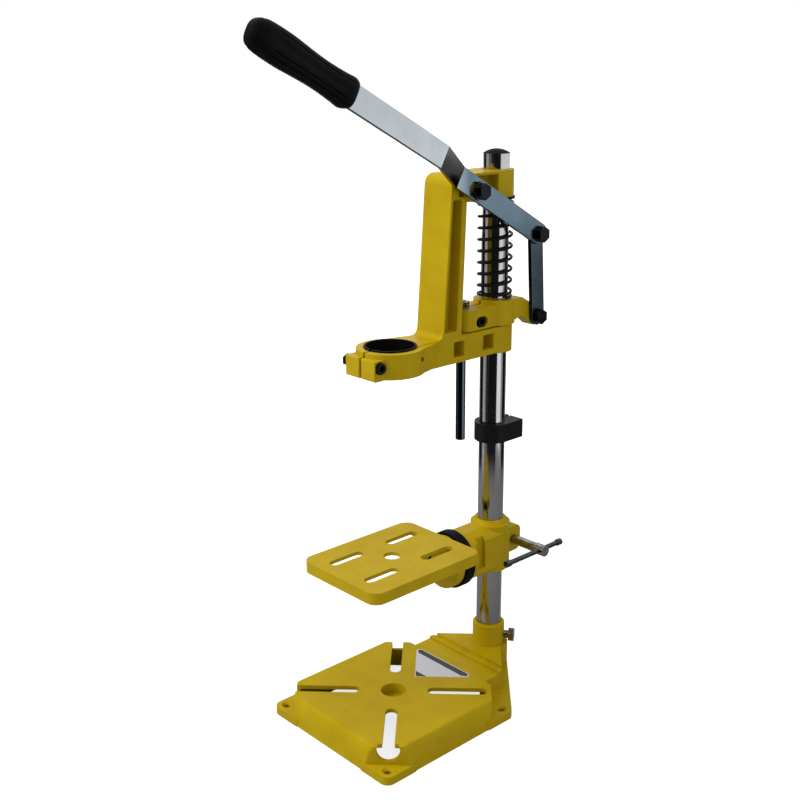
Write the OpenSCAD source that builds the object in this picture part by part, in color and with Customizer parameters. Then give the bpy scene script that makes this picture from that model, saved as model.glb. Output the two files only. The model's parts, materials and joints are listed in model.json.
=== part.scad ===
// Bench drill stand: a cast base with a round column, a tilting work table,
// and a lever-fed carriage whose split collar holds a hand drill by its neck.
// The origin lies on the bench, under the drill axis. +Z is up, the lever side
// is +X, the drill collar faces -Y and the column stands at +Y.

/* [Base] */
// Width of the square base across its foot
base_w = 162; // [158:1:190]
// Height of the base plate's top face
base_h = 26; // [22:1:34]
// Wall thickness of the hollow casting
base_wall = 4; // [3:0.5:6]
// Distance between neighbouring bench screw holes
bench_pitch = 145; // [138:1:148]
// Diameter of the bench screw holes
bench_hole_d = 6.5; // [5:0.5:8.5]
// Height of the four corner pads
pad_h = 8; // [5:0.5:11]
// Width of the diagonal clamping slots
base_slot_w = 11; // [8:0.5:13]
// Diameter of the blind recess under the drill
recess_d = 24; // [18:1:30]
// Outer diameter of the column socket
socket_d = 32; // [30:1:38]
// Height of the column socket's top
socket_h = 54; // [48:1:70]

/* [Column] */
// Distance from the drill axis to the column axis
reach = 131; // [126:1:140]
// Outer diameter of the column tube
col_d = 25; // [24:0.5:26]
// Wall thickness of the column tube
col_wall = 2; // [1.5:0.5:4]
// Length of the column tube
col_len = 500; // [495:5:600]

/* [Work table] */
// Width of the table plate
table_w = 102; // [92:1:120]
// Length of the table plate, front to back
table_l = 131; // [125:1:134]
// Thickness of the table plate
table_t = 11; // [8:0.5:14]
// Height of the table's working face
table_z = 165.5; // [160:0.5:185]
// Width of the table slots
table_slot_w = 10; // [7:0.5:12]
// Length of the table slots
table_slot_l = 38; // [26:1:40]
// Distance between the left and right table slots
table_slot_dx = 48; // [42:1:56]
// Distance between the front and back table slots
table_slot_dy = 68; // [62:1:70]
// Diameter of the table's centre hole
table_hole_d = 16; // [10:1:20]
// Diameter of the table's pivot boss
table_boss_d = 51; // [46:1:54]

/* [Table clamp] */
// Height of the table's clamp block
block_h = 49; // [44:1:54]
// Outer diameter of every sleeve that grips the column
sleeve_d = 39; // [36:0.5:42]
// Thickness of the index disc
disc_t = 12; // [6:0.5:13]
// Length of the tommy bar
tommy_l = 80; // [60:1:90]
// Diameter of the tommy bar
tommy_d = 5; // [4:0.5:6]
// Diameter of the clamp screw's plain neck
screw_neck_d = 9.5; // [8.5:0.5:11]

/* [Stop collar] */
// Height of the stop collar's underside
stop_z = 248.5; // [240:0.5:252]
// Height of the stop collar itself
stop_h = 18; // [14:1:22]
// Outer diameter of the stop collar
stop_d = 34; // [33:0.5:40]

/* [Carriage] */
// Height of the carriage's lowest face at rest
carriage_z = 338; // [336:0.5:350]
// Height of the carriage casting
carriage_h = 168; // [164:1:172]
// Width of the carriage's flanges
carriage_w = 34; // [30:1:36]
// Height of each carriage arm
arm_h = 24; // [20:0.5:25]

/* [Drill collar] */
// Neck diameter of the drill that the collar takes
collar_bore_d = 43; // [38:0.5:44]
// Height of the drill collar
collar_h = 22; // [20:0.5:25]
// Outer diameter of the drill collar
collar_d = 60; // [58:1:66]
// Wall thickness of the insert ring
insert_wall = 1.9; // [1.5:0.1:2.5]

/* [Head clamp] */
// Height of the fixed block between the carriage arms
head_h = 23; // [20:1:26]
// Diameter of the guide rod
rod_d = 9; // [7:0.5:10]
// Length of the guide rod
rod_l = 133; // [125:1:140]

/* [Spring] */
// Outer diameter of the return spring
spring_d = 33.4; // [33:0.1:34.4]
// Wire diameter of the return spring
spring_wire = 2.6; // [1.8:0.1:2.8]
// Number of turns of the return spring
spring_turns = 9.75; // [7:0.25:12]

/* [Lever] */
// Width of the flat lever bar
lever_w = 19.5; // [18:0.5:24]
// Thickness of the lever bar and of the link
lever_t = 4; // [3:0.5:4.5]
// Length of the grip
grip_l = 99; // [90:1:120]
// Width of the grip at its thickest
grip_w = 25; // [22:0.5:32]
// Thickness of the grip at its thickest
grip_t = 21; // [18:0.5:28]
// Width of the link
link_w = 17; // [14:0.5:19]

/* [Hidden] */
$fn = 64;

// Fits, shared by the whole stand
run_gap = 0.05;        // radial clearance of a running fit
face_gap = 0.3;        // clearance between faces that slide past each other
stop_gap = 1;          // clearance between the carriage and its upper stop
over = 1;              // overrun of every cut
slit_w = 2.5;          // width of a clamp slit

// Screws and nuts, as shares of their thread diameters
cap_head_share = 1.65; // diameter of a round head
cap_high_share = 1;    // height of a round head
socket_share = 0.8;    // width of the hexagon socket
nut_af_share = 1.65;   // width of a nut across its flats
nut_high_share = 0.8;  // height of a nut

// Colours
yellow = "#d8b400";
steel = "#b9bcc0";
dark_steel = "#5a5c60";
black = "#1c1c1e";

// Base plate
base_bevel = 3.5;      // run of the bevel round the top edge
base_bevel_h = 6;      // drop of that bevel
base_draft = 2.5;      // lean of the side walls
base_inset = base_bevel + base_draft;
pad_w = 41;            // side of a corner pad
pad_lip = 1;           // how far a pad stands out of the wall
pad_round = 8;         // corner radius of a pad
corner_share = 0.577;  // distance to a cut-off corner, as a share of the width
corner_r = corner_share * base_w;
slot_in_r = 32.5;      // inner end of the clamping slots
slot_rim = 4.5;        // metal left outside the closed slot
slot_notch = 7;        // depth of the open slots' notch in the corner wall
key_d = 21;            // diameter of the front slot's opening for a bolt head
key_drop = 4.8;        // its centre below the plate's top face
recess_h = 10;         // depth of the centre recess
csk = 2;               // depth of the countersinks
rib_t = 3;             // thickness of the ribs under the plate

// Rear deck: half widths and distances in front of the column axis
deck_edge = [[49, 32.5], [14, -2.5]];
deck_root = [49, 11];  // half width and place inside the plate's edge
deck_back_d = 39;      // diameter of the deck and of its flange round the socket
deck_step = [36, 29];  // fronts of the two steps, in front of the column axis
deck_rise = [2.2, 4.7];

// Column, its socket and cap
socket_bevel = 2;
col_r = col_d / 2;
col_bore = col_d + 2 * run_gap;
col_seat_z = 20;       // height of the column's lower end
col_top = col_seat_z + col_len;
cap_h = 4;             // rise of the column cap above the tube
cap_plug_h = 10;
set_screw_d = 8;
set_screw_af = 13;
set_screw_head = 5.5;
set_screw_drop = 15;    // how far the screw sits below the socket's rim
set_screw_z = socket_h - set_screw_drop;
set_screw_out = 4.8;   // bare thread between the socket and the head
set_screw_turn = 35;   // its way out of the socket, turned from +X towards +Y
set_screw_x = socket_d / 2 + set_screw_out;

// Table
table_round = 11;      // corner radius of the plate
table_skin = 3.5;      // metal left over the hollow underside
table_rim = 4;         // width of the rim round it
table_axis_drop = 27;  // depth of the pivot under the working face
boss_out = 4.5;        // how far the boss stands out behind the plate
boss_l = 8;
gusset = [26, 15];     // reach and depth of the ribs between the plate and the boss
gusset_t = 5;
gusset_x = 16;         // their distance from the middle
table_axis_z = table_z - table_axis_drop;
boss_back_y = table_l / 2 + boss_out;
boss_front_y = boss_back_y - boss_l;

// Index disc and table clamp block
disc_lip = 2.5;        // how far the disc stands out round the boss
disc_bevel = 0.8;
disc_y = boss_back_y + face_gap;
disc_d = table_boss_d + 2 * disc_lip;
block_y = disc_y + disc_t;
block_z = table_axis_z - block_h / 2;
block_top = block_z + block_h;
neck_d = table_boss_d;
neck_flange = 7;       // length of the neck's round flange behind the disc
neck_pocket_y = [10.5, 21.5]; // the side pockets, behind the disc
neck_pocket_z = [-11, 22];    // and about the pivot's height
neck_pocket_in = 4;    // their depth
sleeve_bevel = 2;
crown_h = 4;           // the small cone on top of the block
crown_d = [35, 31];
ear_x = 11.5;          // half width of the two ears
ear_out = 32;          // reach of the ears behind the column axis
ear_z = [13, 40];      // foot and top of the ears above the block's foot
stud_d = 10;
stud_in = 25.4;        // depth of the stud in the block
nut_af = 17;
nut_h = 8;
washer_t = 1.5;
washer_d = 21;
thread_out = 1;        // thread that shows past a nut

// Table clamp screw and its tommy bar
clamp_at = [21.5, 26]; // the screw behind the column axis and above the block's foot
clamp_y = reach + clamp_at[0];
clamp_z = block_z + clamp_at[1];
screw_thread_d = 8;
screw_x = 42;          // inner end of the cross head
hub_l = 12;
hub_d = 11;
hub_x = screw_x + hub_l / 2;
tommy_shift = 10.5;    // how far the bar's middle is drawn towards the front
tommy_y = clamp_y - tommy_shift;
tommy_end = 0.8;       // how far the bar's ends swell
tommy_end_l = 6;

// Stop collar
stop_lug_out = 25.5;   // reach of the lugs behind the column axis
stop_screw_out = 19;
stop_screw_y = reach + stop_screw_out;
stop_screw_d = 6;
stop_skin = 3;         // metal left over the screw's end

// Carriage frame: places in front of the column axis and heights
arm_lift = 1.5;        // the lower arm's foot above the lower sleeve's
low_bot = carriage_z + arm_lift;
low_top = low_bot + arm_h;
carriage_top = carriage_z + carriage_h;
high_bot = carriage_top - arm_h;
front_out = [83.2, 73.5]; // front of the upright at its foot and top
back_out = [60.5, 55];    // back of the upright at its foot and top
front_y = [reach - front_out[0], reach - front_out[1]];
back_y = [reach - back_out[0], reach - back_out[1]];
foot_r = 6;            // radius of the hollow corner at the upright's foot
nose_r = 10;           // radius of the upright's top corner
web_t = 8;             // thickness of the web between the flanges
rim_t = 5;             // width of the flanges' rims
front_rim_t = 2.5;     // width of the rim at the upright's front
thin_rim_t = 3;        // width of the upper arm's top rim
low_sleeve_d = 34.5;
high_sleeve_d = 32.5;
high_arm_out = 3.5;    // how far the upper arm's sides run past the column axis
guide_out = 43.5;      // the guide rod in front of the column axis
guide_y = reach - guide_out;
guide_boss_d = 19;
low_pocket_y = [[-25.5, -13], [12, 26]]; // the lower arm's pockets about the rod
high_pocket_out = [64, 15]; // the upper arm's pocket in front of the column axis
pin_boss_d = 20;
pin_boss_x = 22;

// Drill collar
collar_lift = 3;       // the collar's foot above the lower sleeve's
collar_z = carriage_z + collar_lift;
collar_ear_x = 19;     // half width of the two ears
collar_ear_out = 5;    // reach of the ears in front of the collar
collar_ear_drop = 4;   // top of the ears under the collar's top
collar_web = [[17, 44], [25, 16]]; // the fillets' corners beside and behind the drill axis
collar_ear_y = collar_d / 2 + collar_ear_out;
collar_screw_d = 6;
collar_screw_y = collar_screw_d - collar_ear_y;
collar_screw_rise = 11.5; // the screw above the collar's foot
collar_screw_z = collar_z + collar_screw_rise;
collar_sink = 3;       // depth of the screw head's counterbore
insert_proud = 1.5;
insert_d = collar_bore_d + 2 * insert_wall;
set_hole_d = 4.5;
set_hole = [12.5, 13.5]; // its place behind the drill axis and above the collar's foot
set_boss_d = 9;
set_boss_x = 27.5;     // outer face of the boss round it

// Head block and guide rod
head_z = low_top + stop_gap;
head_top = head_z + head_h;
head_lug_x = 15;       // half width of the front lug
head_lug_out = 9;      // reach of the lug in front of the guide rod
head_lug_drop = 3.5;   // top of the lug under the block's top
head_lug_y = guide_y - head_lug_out;
head_lug_top = head_top - head_lug_drop;
head_screw_d = 6;
head_screw_at = [12, 7]; // the screw behind the guide rod and above the block's foot
head_screw_y = guide_y + head_screw_at[0];
head_screw_z = head_z + head_screw_at[1];
head_recess = [15, 10];
head_sink = 6;         // depth of the recess round the screw head
rod_out = 7;           // rod above the front lug
rod_nut_af = 13;
rod_nut_h = 6.5;

// Linkage: pivot C on the head block, B on the link, slot pin A on the carriage
pin_a_at = [48.1, 9.7];  // in front of the column axis and above the upper arm's foot
pin_b_at = [32.7, 60.1]; // behind the column axis and under the carriage's top
pin_c_at = [37.9, 2.7];  // behind the column axis and above the head block's foot
pin_a = [reach - pin_a_at[0], high_bot + pin_a_at[1]];
pin_b = [reach + pin_b_at[0], carriage_top - pin_b_at[1]];
pin_c = [reach + pin_c_at[0], head_z + pin_c_at[1]];
lever_angle = atan2(pin_a[1] - pin_b[1], pin_b[0] - pin_a[0]);
lever_ab = norm(pin_a - pin_b);
arm_c_x = [6, 17.7];   // sides of the arm that carries pivot C
arm_c_d = 18;
link_x = arm_c_x[1] + face_gap;
lever_x = link_x + lever_t + face_gap;
pivot_d = 8;
pivot_af = 13;
pivot_head = 5.3;
slot_pin_d = 8;
slot_pin_af = 13;
slot_pin_head = 5;
slot_pin_washer_d = 17;
slot_play = 0.7;       // play of the pin across the lever's slot, each side
slot_to_b = 5.3;       // slot beyond the pin towards B
slot_to_grip = 8;      // slot beyond the pin towards the grip
jog_u = [120.5, 166.5]; // where the bar leaves and joins its two planes, from B
jog_x = 22.5;          // sideways step of the bar
jog_drop = 2.0;        // how far the bar sinks across its own width on the way
droop = 1.8;           // angle by which the handle sinks further
grip_u = 277;          // inner end of the grip, from B
tang_l = 45;           // the narrow end of the bar inside the grip
tang_w = 14;
// The grip's places as shares of its length, and its widths as shares of the largest
grip_shares = [[0, 0.9], [0.03, 0.99], [0.1, 0.95], [0.21, 0.9], [0.32, 0.88], [0.43, 0.9],
    [0.54, 0.945], [0.65, 0.995], [0.75, 1], [0.85, 0.98], [0.91, 0.93], [0.96, 0.8], [1, 0.5]];
grip_power = 3;        // 2 would make its sections elliptical, more makes them squarer
grip_sides = 24;

// Return spring
spring_z0 = head_top + face_gap;
spring_washer_t = 2;
spring_z1 = high_bot - face_gap - spring_washer_t;
spring_end_gap = 0.7;  // gap of the close turns at each end
spring_rings = 8;      // rings of points in one turn
spring_sides = 6;      // sides of the wire

// Shapes shared by several pieces

// Stands a flat outline of (y, z) points up and runs it from x0 to x1.
module along_x(x0, x1) {
    translate([x0, 0, 0])
        rotate([90, 0, 90])
            linear_extrude(x1 - x0)
                children();
}

// A round bar along X.
module bar_x(d, x0, x1, y, z) {
    translate([x0, y, z])
        rotate([0, 90, 0])
            cylinder(d = d, h = x1 - x0);
}

// A round bar along Y.
module bar_y(d, y0, y1, x, z) {
    translate([x, y0, z])
        rotate([-90, 0, 0])
            cylinder(d = d, h = y1 - y0);
}

// A hexagon prism with a given width across flats.
module hex(af, h) {
    cylinder(d = af / cos(30), h = h, $fn = 6);
}

// A hexagon head or nut whose axis lies along X, turned about it by some angle.
module hex_x(af, x0, x1, y, z, turn = 0) {
    translate([x0, y, z])
        rotate([0, 90, 0])
            rotate(turn)
                hex(af, x1 - x0);
}

// A cap screw along X: its shank from x0 to its head's seat, and a head with a hexagon socket.
module cap_screw_x(d, x0, seat, y, z) {
    top = seat + cap_high_share * d;
    difference() {
        union() {
            bar_x(d, x0, seat, y, z);
            bar_x(cap_head_share * d, seat, top, y, z);
        }
        hex_x(socket_share * d, top - d / 2, top + over, y, z);
    }
}

// A slot outline along its first axis, with round ends.
module slot_2d(l, w) {
    square([l - w, w], center = true);
    for (side = [-1, 1])
        translate([side * (l - w) / 2, 0])
            circle(d = w);
}

// A rectangle with round corners.
module round_rect(w, l, r) {
    square([w - 2 * r, l], center = true);
    square([w, l - 2 * r], center = true);
    for (sx = [-1, 1], sy = [-1, 1])
        translate([sx * (w / 2 - r), sy * (l / 2 - r)])
            circle(r = r);
}

// A hole for the column, cut from z0 to z1.
module column_hole(z0, z1) {
    translate([0, reach, z0])
        cylinder(d = col_bore, h = z1 - z0);
}

// Base

// The square plate with its corners cut off, its sides and corners drawn in.
module base_outline(side_inset, corner_inset) {
    intersection() {
        square(base_w - 2 * side_inset, center = true);
        rotate(45)
            square(2 * (corner_r - corner_inset), center = true);
    }
}

// Cross-section of the plate from side to side: leaning walls and a bevelled top edge.
module base_section() {
    foot = base_w / 2;
    shoulder = foot - base_draft;
    edge = foot - base_inset;
    polygon([[-foot, 0], [foot, 0], [shoulder, base_h - base_bevel_h], [edge, base_h],
        [-edge, base_h], [-shoulder, base_h - base_bevel_h]]);
}

module base_plate() {
    intersection() {
        linear_extrude(base_h)
            base_outline(0, 0);
        translate([0, base_w / 2, 0])
            rotate([90, 0, 0])
                linear_extrude(base_w)
                    base_section();
        along_x(-base_w / 2, base_w / 2)
            base_section();
    }
}

// The tapering deck behind the plate, drawn in by a given amount.
module deck_outline(inset) {
    root = [deck_root[0], base_w / 2 - deck_root[1]];
    places = concat([root], [for (p = deck_edge) [p[0], reach - p[1]]]);
    right = [for (p = places) [p[0] - inset, p[1]]];
    left = [for (i = [len(places) - 1 : -1 : 0]) [inset - places[i][0], places[i][1]]];
    polygon(concat(right, left));
    translate([0, reach])
        circle(d = deck_back_d - 2 * inset);
}

module rear_deck() {
    linear_extrude(base_h)
        deck_outline(0);
    for (i = [0, 1])
        linear_extrude(base_h + deck_rise[i])
            intersection() {
                deck_outline(0);
                translate([-base_w / 2, reach - deck_step[i]])
                    square([base_w, reach]);
            }
}

module socket_post() {
    translate([0, reach, 0]) {
        cylinder(d = socket_d, h = socket_h - socket_bevel);
        translate([0, 0, socket_h - socket_bevel])
            cylinder(d1 = socket_d, d2 = socket_d - 2 * socket_bevel, h = socket_bevel);
    }
}

// The low flange that runs from the rear pads to the socket's foot.
module foot_flange() {
    corner = base_w / 2 + pad_lip - pad_round * (1 - cos(45));
    side = deck_back_d / 2 * cos(45);
    linear_extrude(pad_h) {
        polygon([[corner, corner], [side, reach + side], [-side, reach + side],
            [-corner, corner]]);
        translate([0, reach])
            circle(d = deck_back_d);
    }
}

module corner_pads() {
    pad_at = base_w / 2 + pad_lip - pad_w / 2;
    for (sx = [-1, 1], sy = [-1, 1])
        translate([sx * pad_at, sy * pad_at, 0])
            linear_extrude(pad_h)
                round_rect(pad_w, pad_w, pad_round);
}

// The hollow under the plate and the deck, with the recess cup and ribs left standing.
module base_hollow() {
    inset = base_inset + base_wall;
    roof = base_h - base_wall;
    difference() {
        translate([0, 0, -over])
            linear_extrude(roof + over)
                base_outline(inset, base_wall);
        translate([0, 0, roof - recess_h])
            cylinder(d = recess_d + 2 * base_wall, h = recess_h);
        for (a = [0, 90])
            rotate(a)
                translate([-base_w / 2, -rib_t / 2, pad_h])
                    cube([base_w, rib_t, base_h]);
    }
    translate([0, 0, -over])
        linear_extrude(roof + over)
            difference() {
                intersection() {
                    deck_outline(base_wall);
                    translate([-base_w / 2, base_w / 2 - inset])
                        square([base_w, reach]);
                }
                translate([0, reach])
                    circle(d = socket_d);
            }
}

// One clamping slot that runs out from the centre at a given angle.
module base_slot(angle, out_r) {
    rotate(angle)
        translate([slot_in_r + base_slot_w / 2, 0, base_h - slot_notch])
            linear_extrude(slot_notch + over) {
                circle(d = base_slot_w);
                translate([0, -base_slot_w / 2])
                    square([out_r - slot_in_r - base_slot_w, base_slot_w]);
                translate([out_r - slot_in_r - base_slot_w, 0])
                    circle(d = base_slot_w);
            }
}

module bench_holes() {
    for (sx = [-1, 1], sy = [-1, 1])
        translate([sx * bench_pitch / 2, sy * bench_pitch / 2, 0]) {
            translate([0, 0, -over])
                cylinder(d = bench_hole_d, h = pad_h + 2 * over);
            translate([0, 0, pad_h - csk])
                cylinder(d1 = bench_hole_d, d2 = bench_hole_d + 2 * (csk + over), h = csk + over);
        }
}

module base() {
    past = corner_r + base_slot_w;
    color(yellow)
        difference() {
            union() {
                difference() {
                    union() {
                        base_plate();
                        rear_deck();
                        foot_flange();
                        corner_pads();
                    }
                    base_hollow();
                }
                socket_post();
            }
            translate([0, 0, base_h - recess_h])
                cylinder(d = recess_d, h = recess_h + over);
            base_slot(45, corner_r - slot_rim);
            for (angle = [135, 225, 315])
                base_slot(angle, past);
            rotate(-45)
                bar_x(key_d, corner_r - base_wall, corner_r + over, 0, base_h - key_drop);
            column_hole(col_seat_z, socket_h + over);
            translate([0, reach, 0])
                rotate(set_screw_turn)
                    bar_x(set_screw_d + 2 * run_gap, 0, socket_d, 0, set_screw_z);
            bench_holes();
        }
}

module column() {
    color(steel)
        translate([0, reach, col_seat_z])
            difference() {
                cylinder(d = col_d, h = col_len);
                translate([0, 0, -over])
                    cylinder(d = col_d - 2 * col_wall, h = col_len + 2 * over);
            }
}

// A plug with a low domed head that closes the tube.
module column_cap() {
    plug_r = col_r - col_wall - run_gap;
    dome_r = (col_r * col_r + cap_h * cap_h) / (2 * cap_h);
    color(black)
        translate([0, reach, col_top]) {
            translate([0, 0, -cap_plug_h])
                cylinder(r = plug_r, h = cap_plug_h);
            intersection() {
                cylinder(r = col_r, h = cap_h);
                translate([0, 0, cap_h - dome_r])
                    sphere(r = dome_r, $fn = 96);
            }
        }
}

module base_set_screw() {
    color(dark_steel)
        translate([0, reach, 0])
            rotate(set_screw_turn) {
                bar_x(set_screw_d, col_r + run_gap, set_screw_x, 0, set_screw_z);
                hex_x(set_screw_af, set_screw_x, set_screw_x + set_screw_head, 0, set_screw_z);
            }
}

// Stop collar

// The screw's head is sunk in the far lug, and its thread ends inside the near one.
module stop_collar() {
    screw_z = stop_z + stop_h / 2;
    side = stop_d / 2;
    color(black)
        difference() {
            union() {
                translate([0, reach, stop_z])
                    cylinder(d = stop_d, h = stop_h);
                translate([-side, reach, stop_z])
                    cube([stop_d, stop_lug_out, stop_h]);
            }
            column_hole(stop_z - over, stop_z + stop_h + over);
            translate([-slit_w / 2, reach, stop_z - over])
                cube([slit_w, stop_lug_out + over, stop_h + 2 * over]);
            bar_x(stop_screw_d + 2 * run_gap, -stop_d, side - stop_skin, stop_screw_y, screw_z);
            bar_x(cap_head_share * stop_screw_d + over, -stop_d,
                cap_high_share * stop_screw_d - side, stop_screw_y, screw_z);
        }
}

module stop_collar_screw() {
    side = stop_d / 2;
    color(dark_steel)
        mirror([1, 0, 0])
            cap_screw_x(stop_screw_d, stop_skin + face_gap - side,
                side - cap_high_share * stop_screw_d, stop_screw_y, stop_z + stop_h / 2);
}

// Work table and its clamp

// The two split ears behind the column, with round free corners.
module clamp_ears() {
    r = (ear_z[1] - ear_z[0]) / 4;
    along_x(-ear_x, ear_x)
        translate([reach, block_z + ear_z[0]]) {
            square([ear_out - r, ear_z[1] - ear_z[0]]);
            translate([0, r])
                square([ear_out, ear_z[1] - ear_z[0] - 2 * r]);
            for (z = [r, ear_z[1] - ear_z[0] - r])
                translate([ear_out - r, z])
                    circle(r = r);
        }
}

// The round neck that carries the table, as wide as the sleeve behind its flange.
module block_neck() {
    intersection() {
        union() {
            bar_y(neck_d, block_y, block_y + neck_flange, 0, table_axis_z);
            intersection() {
                bar_y(neck_d, block_y, reach, 0, table_axis_z);
                translate([-sleeve_d / 2, block_y, block_z])
                    cube([sleeve_d, reach, block_h]);
            }
        }
        translate([-table_boss_d, block_y, block_z])
            cube([2 * table_boss_d, reach, block_h]);
    }
}

module table_block() {
    color(yellow)
        difference() {
            union() {
                translate([0, reach, block_z]) {
                    cylinder(d1 = sleeve_d - 2 * sleeve_bevel, d2 = sleeve_d, h = sleeve_bevel);
                    translate([0, 0, sleeve_bevel])
                        cylinder(d = sleeve_d, h = block_h - sleeve_bevel);
                    translate([0, 0, block_h])
                        cylinder(d1 = crown_d[0], d2 = crown_d[1], h = crown_h);
                }
                block_neck();
                clamp_ears();
            }
            column_hole(block_z - over, block_top + crown_h + over);
            translate([-slit_w / 2, reach, block_z - over])
                cube([slit_w, ear_out + over, block_h + crown_h + 2 * over]);
            bar_y(stud_d + 2 * run_gap, block_y - over, block_y + stud_in, 0, table_axis_z);
            bar_x(screw_thread_d + 2 * run_gap, -ear_x - over, ear_x + over, clamp_y, clamp_z);
            for (side = [0, 1])
                mirror([side, 0, 0])
                    translate([sleeve_d / 2 - neck_pocket_in, block_y + neck_pocket_y[0],
                        table_axis_z + neck_pocket_z[0]])
                        cube([neck_pocket_in + over, neck_pocket_y[1] - neck_pocket_y[0],
                            neck_pocket_z[1] - neck_pocket_z[0]]);
        }
}

// The black ring between the table and its block.
module index_disc() {
    color(black)
        translate([0, disc_y, table_axis_z])
            rotate([-90, 0, 0])
                difference() {
                    union() {
                        cylinder(d1 = disc_d - 2 * disc_bevel, d2 = disc_d, h = disc_bevel);
                        translate([0, 0, disc_bevel])
                            cylinder(d = disc_d, h = disc_t - 2 * disc_bevel);
                        translate([0, 0, disc_t - disc_bevel])
                            cylinder(d1 = disc_d, d2 = disc_d - 2 * disc_bevel, h = disc_bevel);
                    }
                    translate([0, 0, -over])
                        cylinder(d = stud_d + 2 * run_gap, h = disc_t + 2 * over);
                }
}

module table_pivot_stud() {
    color(dark_steel)
        bar_y(stud_d, boss_front_y - face_gap - washer_t - nut_h - thread_out, block_y + stud_in,
            0, table_axis_z);
}

module table_pivot_nut() {
    washer_y = boss_front_y - face_gap - washer_t;
    color(dark_steel)
        difference() {
            union() {
                bar_y(washer_d, washer_y, washer_y + washer_t, 0, table_axis_z);
                translate([0, washer_y - nut_h, table_axis_z])
                    rotate([-90, 0, 0])
                        hex(nut_af, nut_h);
            }
            bar_y(stud_d + 2 * run_gap, washer_y - nut_h - over, washer_y + washer_t + over,
                0, table_axis_z);
        }
}

module tilt_table() {
    under = table_z - table_t;
    color(yellow)
        difference() {
            union() {
                difference() {
                    translate([0, 0, under])
                        linear_extrude(table_t)
                            round_rect(table_w, table_l, table_round);
                    translate([0, 0, under - over])
                        linear_extrude(table_t - table_skin + over)
                            round_rect(table_w - 2 * table_rim, table_l - 2 * table_rim,
                                table_round - table_rim);
                }
                bar_y(table_boss_d, boss_front_y, boss_back_y, 0, table_axis_z);
                for (side = [-1, 1])
                    along_x(side * gusset_x - gusset_t / 2, side * gusset_x + gusset_t / 2)
                        polygon([[boss_front_y + over, table_z - table_skin + over],
                            [boss_front_y - gusset[0], table_z - table_skin + over],
                            [boss_front_y - gusset[0], under],
                            [boss_front_y + over, under - gusset[1]]]);
            }
            bar_y(stud_d + 2 * run_gap, boss_front_y - over, boss_back_y + over, 0, table_axis_z);
            translate([0, 0, under - over])
                cylinder(d = table_hole_d, h = table_t + 2 * over);
            for (sx = [-1, 1], sy = [-1, 1])
                translate([sx * table_slot_dx / 2, sy * table_slot_dy / 2, under - over])
                    rotate(90)
                        linear_extrude(table_t + 2 * over)
                            slot_2d(table_slot_l, table_slot_w);
        }
}

module table_clamp_screw() {
    neck_x = ear_x + face_gap;
    color(dark_steel)
        difference() {
            union() {
                bar_x(screw_thread_d, -ear_x - screw_thread_d, neck_x, clamp_y, clamp_z);
                bar_x(screw_neck_d, neck_x, screw_x, clamp_y, clamp_z);
                bar_x(hub_d, screw_x, screw_x + hub_l, clamp_y, clamp_z);
            }
            bar_y(tommy_d + 2 * run_gap, clamp_y - hub_d, clamp_y + hub_d, hub_x, clamp_z);
        }
}

module tommy_bar() {
    y0 = tommy_y - tommy_l / 2;
    y1 = tommy_y + tommy_l / 2;
    color(dark_steel) {
        bar_y(tommy_d, y0, y1, hub_x, clamp_z);
        for (y = [y0, y1 - tommy_end_l])
            bar_y(tommy_d + 2 * tommy_end, y, y + tommy_end_l, hub_x, clamp_z);
    }
}

// Head block, guide rod and spring

// The arm that carries pivot C, as an outline in (y, z).
module head_arm_2d() {
    r = arm_c_d / 2;
    slope = atan2(pin_c[1] - head_z - head_h, pin_c[0] - reach - sleeve_d / 2);
    side = r * [-sin(slope), cos(slope)];
    back = reach + sleeve_d / 2;
    polygon([[reach, head_top], [back, head_top], pin_c + side, pin_c - side,
        [back, head_z + head_h / 4], [reach, head_z]]);
    translate(pin_c)
        circle(d = arm_c_d);
}

module head_block() {
    lug_r = head_lug_x / 2;
    color(yellow)
        difference() {
            union() {
                translate([0, reach, head_z])
                    cylinder(d = sleeve_d, h = head_h);
                translate([0, 0, head_z])
                    linear_extrude(head_lug_top - head_z) {
                        translate([-head_lug_x, head_lug_y + lug_r])
                            square([2 * head_lug_x, reach - head_lug_y - lug_r]);
                        translate([lug_r - head_lug_x, head_lug_y])
                            square([2 * (head_lug_x - lug_r), reach - head_lug_y]);
                        for (side = [-1, 1])
                            translate([side * (head_lug_x - lug_r), head_lug_y + lug_r])
                                circle(r = lug_r);
                    }
                along_x(arm_c_x[0], arm_c_x[1])
                    head_arm_2d();
            }
            column_hole(head_z - arm_c_d, head_top + over);
            translate([0, guide_y, head_z - over])
                cylinder(d = rod_d + 2 * run_gap, h = head_h + 2 * over);
            translate([-slit_w / 2, head_lug_y - over, head_z - over])
                cube([slit_w, reach - head_lug_y, head_h + 2 * over]);
            bar_x(head_screw_d + 2 * run_gap, -2 * head_lug_x, 2 * head_lug_x,
                head_screw_y, head_screw_z);
            for (side = [0, 1])
                mirror([side, 0, 0])
                    along_x(head_lug_x - head_sink, head_lug_x + over)
                        translate([head_screw_y, head_screw_z])
                            slot_2d(head_recess[0], head_recess[1]);
            bar_x(pivot_d + 2 * run_gap, arm_c_x[0] - over, arm_c_x[1] + over, pin_c[0], pin_c[1]);
        }
}

module head_clamp_screw() {
    seat = head_lug_x - head_sink;
    color(dark_steel)
        cap_screw_x(head_screw_d, -seat - head_screw_d, seat, head_screw_y, head_screw_z);
}

module head_clamp_nut() {
    seat = head_lug_x - head_sink;
    color(dark_steel)
        difference() {
            hex_x(head_recess[1] - 2 * run_gap, -seat - nut_high_share * head_screw_d, -seat,
                head_screw_y, head_screw_z, 30);
            bar_x(head_screw_d + 2 * run_gap, -2 * head_lug_x, 0, head_screw_y, head_screw_z);
        }
}

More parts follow.
